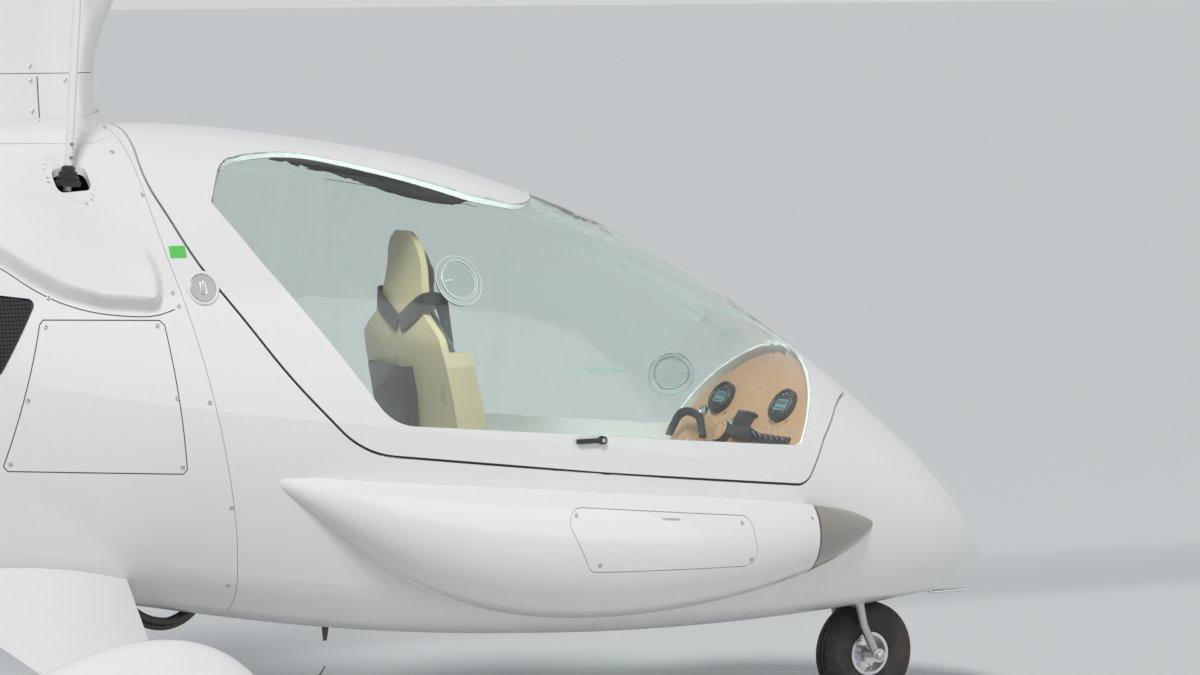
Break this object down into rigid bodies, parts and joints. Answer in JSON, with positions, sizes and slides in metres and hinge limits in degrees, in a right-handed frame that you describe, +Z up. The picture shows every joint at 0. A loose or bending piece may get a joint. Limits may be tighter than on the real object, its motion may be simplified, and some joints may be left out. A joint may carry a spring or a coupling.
{
  "type": "two-seat enclosed gyrocopter",
  "caption": "Enclosed gyrocopter with a long teardrop cabin, side-hinged canopy, teetering rotor on a faired mast, pusher propeller, finned tail and tricycle wheels.",
  "frame": {"origin": "on the ground under the rotor axis", "axes": "+X to the nose, +Y to the left side, +Z up"},
  "size_m": [8.7344, 1.8924, 2.8],
  "materials": {
    "shell_white": "gloss",
    "blade_white": "gloss",
    "canopy_glass": "clear, faint green tint",
    "clear_plastic": "clear",
    "smoked_lens": "smoked",
    "lamp": "polished",
    "cabin_grey": "matt",
    "seat_shell": "satin composite",
    "seat_fabric": "woven",
    "panel_tan": "satin",
    "black_plastic": "matt",
    "engine_metal": "cast alloy",
    "steel": "brushed",
    "aluminium": "machined",
    "prop_black": "gloss composite",
    "tyre": "worn rubber",
    "hose_rubber": "matt"
  },
  "bodies": {
    "airframe": {"fuselage_shell": "shell_white", "engine_cowl": "shell_white", "cowl_grilles": "black_plastic", "hinge_brackets": "aluminium", "side_pods": "shell_white", "pod_hatches": "shell_white", "headlight_lenses": "smoked_lens", "headlamps": "lamp", "cabin_floor": "cabin_grey", "rear_bulkhead": "cabin_grey", "front_seat": "seat_shell", "front_seat_pad": "seat_fabric", "rear_seat": "seat_shell", "rear_seat_pad": "seat_fabric", "instrument_panel": "panel_tan", "panel_hood": "black_plastic", "cockpit_controls": "black_plastic", "engine_block": "engine_metal", "mast_tube": "steel", "mast_fairing_low": "shell_white", "mast_fairing_high": "shell_white", "control_rods": "shell_white", "rotor_head": "aluminium", "tail_boom": "shell_white", "tail_fin": "shell_white", "tailplane": "shell_white", "wheel_spats": "shell_white", "gear_legs": "shell_white", "main_axles": "steel", "fuel_cap": "aluminium", "pitot_tubes": "aluminium", "belly_aerial": "black_plastic", "belly_hoses": "hose_rubber"},
    "canopy": {"canopy_frame": "shell_white", "canopy_glass": "canopy_glass", "canopy_hinges": "aluminium", "canopy_latch": "black_plastic", "canopy_vents": "clear_plastic"},
    "rotor_tower": {"rotor_tower": "aluminium"},
    "rotor": {"rotor_hub_bar": "aluminium", "rotor_blades": "blade_white"},
    "propeller": {"propeller_hub": "aluminium", "propeller_blades": "prop_black"},
    "rudder": {"rudder": "shell_white"},
    "main_wheel_left": {"main_left_tyre": "tyre", "main_left_rim": "aluminium"},
    "main_wheel_right": {"main_right_tyre": "tyre", "main_right_rim": "aluminium"},
    "nose_fork": {"nose_fork": "steel"},
    "nose_wheel": {"nose_tyre": "tyre", "nose_rim": "aluminium"}
  },
  "joints": [
    {"name": "canopy_open", "type": "hinge", "parent": "airframe", "child": "canopy", "pos_m": [0.9, 0.3973, 0.728], "axis": [-0.9924, 0.0476, 0.1136], "range_deg": [0, 85]},
    {"name": "rotor_spin", "type": "hinge", "parent": "airframe", "child": "rotor_tower", "pos_m": [0, 0, 2.6], "axis": [0, 0, 1], "continuous": true},
    {"name": "rotor_teeter", "type": "hinge", "parent": "rotor_tower", "child": "rotor", "pos_m": [0, 0, 2.772], "axis": [0, 1, 0], "range_deg": [-8, 8]},
    {"name": "propeller_spin", "type": "hinge", "parent": "airframe", "child": "propeller", "pos_m": [-1.01, 0, 1.2], "axis": [1, 0, 0], "continuous": true},
    {"name": "rudder_turn", "type": "hinge", "parent": "airframe", "child": "rudder", "pos_m": [-2.055, 0, 0.9], "axis": [0, 0, 1], "range_deg": [-28, 28]},
    {"name": "main_wheel_left_spin", "type": "hinge", "parent": "airframe", "child": "main_wheel_left", "pos_m": [-0.06, 0.85, 0.19], "axis": [0, 1, 0], "continuous": true},
    {"name": "main_wheel_right_spin", "type": "hinge", "parent": "airframe", "child": "main_wheel_right", "pos_m": [-0.06, -0.85, 0.19], "axis": [0, 1, 0], "continuous": true},
    {"name": "nose_steer", "type": "hinge", "parent": "airframe", "child": "nose_fork", "pos_m": [2.30906, 0, 0.13423], "axis": [-0.4226, 0, 0.9063], "range_deg": [-30, 30]},
    {"name": "nose_wheel_spin", "type": "hinge", "parent": "nose_fork", "child": "nose_wheel", "pos_m": [2.3, 0, 0.13], "axis": [0, 1, 0], "continuous": true}
  ]
}
